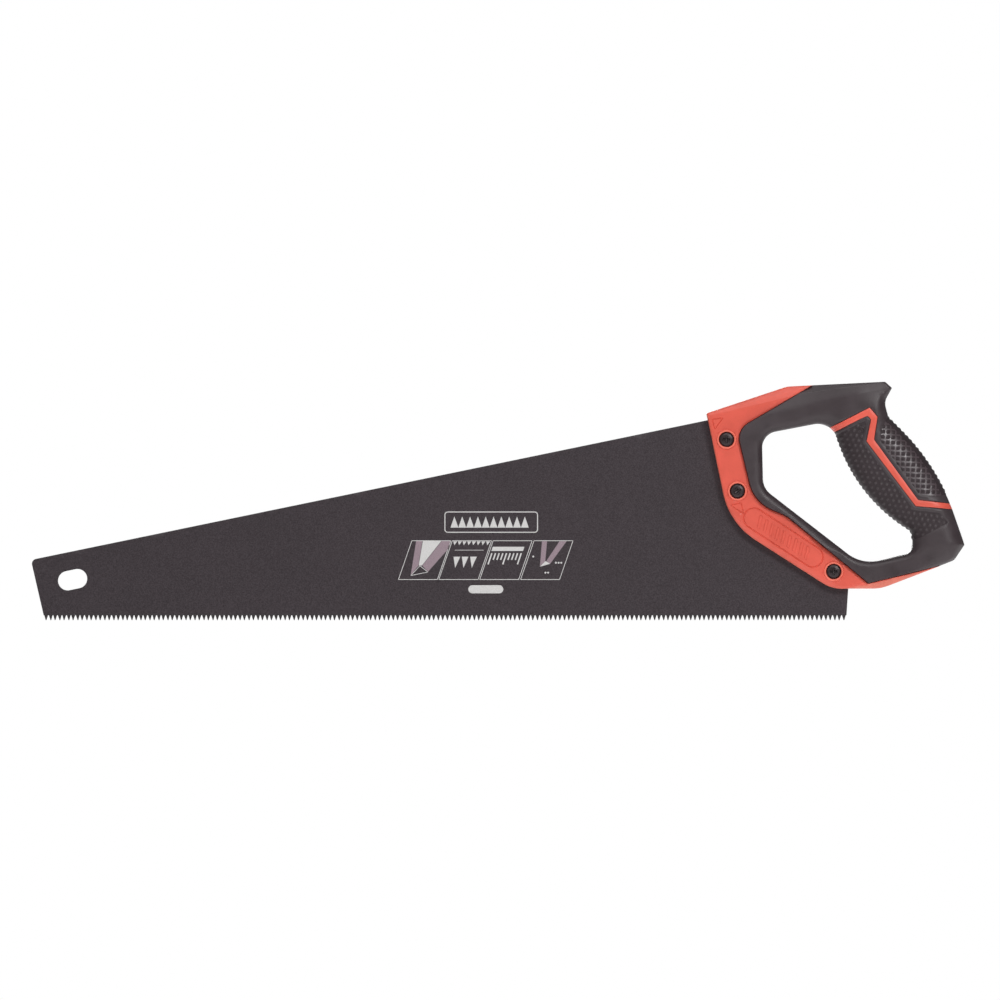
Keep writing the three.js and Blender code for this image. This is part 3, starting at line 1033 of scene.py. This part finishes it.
def label_and_plate():
    """A box with a row of teeth above the signs, and a short plate below them."""
    shapes = outline([tuple(p) for p in rounded(LABEL, 0.4)], 0.6)
    shapes += row_of([(2.45, -18.4), (4.9, -25.4), (0, -25.4)], -283.1, 4.9, 10)
    return shapes + [slab([tuple(p) for p in capsule(-261.0, -64.0, 8.4, 2.55, 0, 12)])]


def make_print():
    tooth_white, tooth_grey = tooth_sign()
    tip_white, tip_grey = tip_sign()
    white = sign_frames() + tooth_white + pitch_sign() + rule_sign() + tip_white + label_and_plate()
    white_ink = ink_and_shade("ink_white", (0.47, 0.46, 0.455), (0.62, 0.61, 0.605))
    piece("blade_print_white", *join(white), white_ink, slot="blade_steel")
    grey_ink = ink_and_shade("ink_grey", (0.20, 0.14, 0.17), (0.30, 0.23, 0.26))
    piece("blade_print_grey", *join(tooth_grey + tip_grey), grey_ink, slot="blade_steel")


make_print()

# ---- floor, light and camera, in metres ----
FLOOR_RADIUS = 1.9
FLOOR_SIDES = 96
FLOOR_Z = -0.47
CAMERA_DISTANCE = 5.0
CAMERA_X = -0.2521
CAMERA_Z = -0.0081
VIEW_WIDTH = 0.6263
SENSOR = 36
LAMPS = [
    # name, place, target, size, watts
    ("key", (0.8, -1.65, 0.85), (-0.02, 0, 0), (0.45, 0.45), 18),
    ("top", (-0.5, -1.6, 1.7), (-0.2, 0, 0), (1.2, 0.8), 14),
    ("left", (-1.9, -1.9, 0.6), (-0.3, 0, 0), (0.8, 0.8), 4),
    ("overhead", (-0.15, -0.25, 1.5), (-0.15, 0, 0), (1.6, 0.7), 8),
    ("back_right", (-0.5, 2.6, 0.6), (-0.25, 0, 0), (0.7, 0.7), 24),
    ("back_left", (0.3, 2.6, 0.0), (-0.2, 0, 0), (0.7, 0.7), 12),
]


def make_floor():
    """Pale disc that glows a little."""
    mesh = bpy.data.meshes.new("floor")
    rim = circle(-0.25, 0, FLOOR_RADIUS, FLOOR_SIDES)[::-1]
    mesh.from_pydata([(x, y, FLOOR_Z) for x, y in rim], [], [tuple(range(FLOOR_SIDES))])
    floor = bpy.data.objects.new("floor", mesh)
    bpy.context.scene.collection.objects.link(floor)
    material, _, shader = nodes_of("pale_floor")
    shader.inputs["Base Color"].default_value = (0.85, 0.85, 0.85, 1)
    shader.inputs["Emission Color"].default_value = (1, 1, 1, 1)
    shader.inputs["Emission Strength"].default_value = 0.6
    shader.inputs["Roughness"].default_value = 0.9
    mesh.materials.append(material)


def make_world():
    """Weak light from all round, with a pure white background for the camera."""
    world = bpy.data.worlds.new("studio")
    bpy.context.scene.world = world
    world.use_nodes = True
    nodes = world.node_tree.nodes
    sky = nodes["Background"]
    sky.inputs["Color"].default_value = (1, 1, 1, 1)
    sky.inputs["Strength"].default_value = 0.18
    bright = nodes.new("ShaderNodeBackground")
    bright.inputs["Color"].default_value = (1, 1, 1, 1)
    path = nodes.new("ShaderNodeLightPath")
    choose = nodes.new("ShaderNodeMixShader")
    link = world.node_tree.links.new
    link(path.outputs["Is Camera Ray"], choose.inputs[0])
    link(sky.outputs["Background"], choose.inputs[1])
    link(bright.outputs["Background"], choose.inputs[2])
    link(choose.outputs["Shader"], nodes["World Output"].inputs["Surface"])


def make_lamp(name, place, target, size, watts):
    light = bpy.data.lights.new(name, "AREA")
    light.shape = "RECTANGLE"
    light.size, light.size_y = size
    light.energy = watts
    obj = bpy.data.objects.new(name, light)
    obj.location = place
    obj.rotation_euler = (Vector(target) - Vector(place)).to_track_quat("-Z", "Y").to_euler()
    bpy.context.scene.collection.objects.link(obj)


def make_camera():
    """Long lens, square on to the blade."""
    camera = bpy.data.cameras.new("camera")
    camera.sensor_width = SENSOR
    camera.lens = SENSOR * CAMERA_DISTANCE / VIEW_WIDTH
    camera.clip_end = 20
    obj = bpy.data.objects.new("camera", camera)
    obj.location = (CAMERA_X, -CAMERA_DISTANCE, CAMERA_Z)
    obj.rotation_euler = (math.pi / 2, 0, 0)
    bpy.context.scene.collection.objects.link(obj)
    bpy.context.scene.camera = obj
    bpy.context.scene.view_settings.view_transform = "Standard"


make_floor()
make_world()
for lamp in LAMPS:
    make_lamp(*lamp)
make_camera()
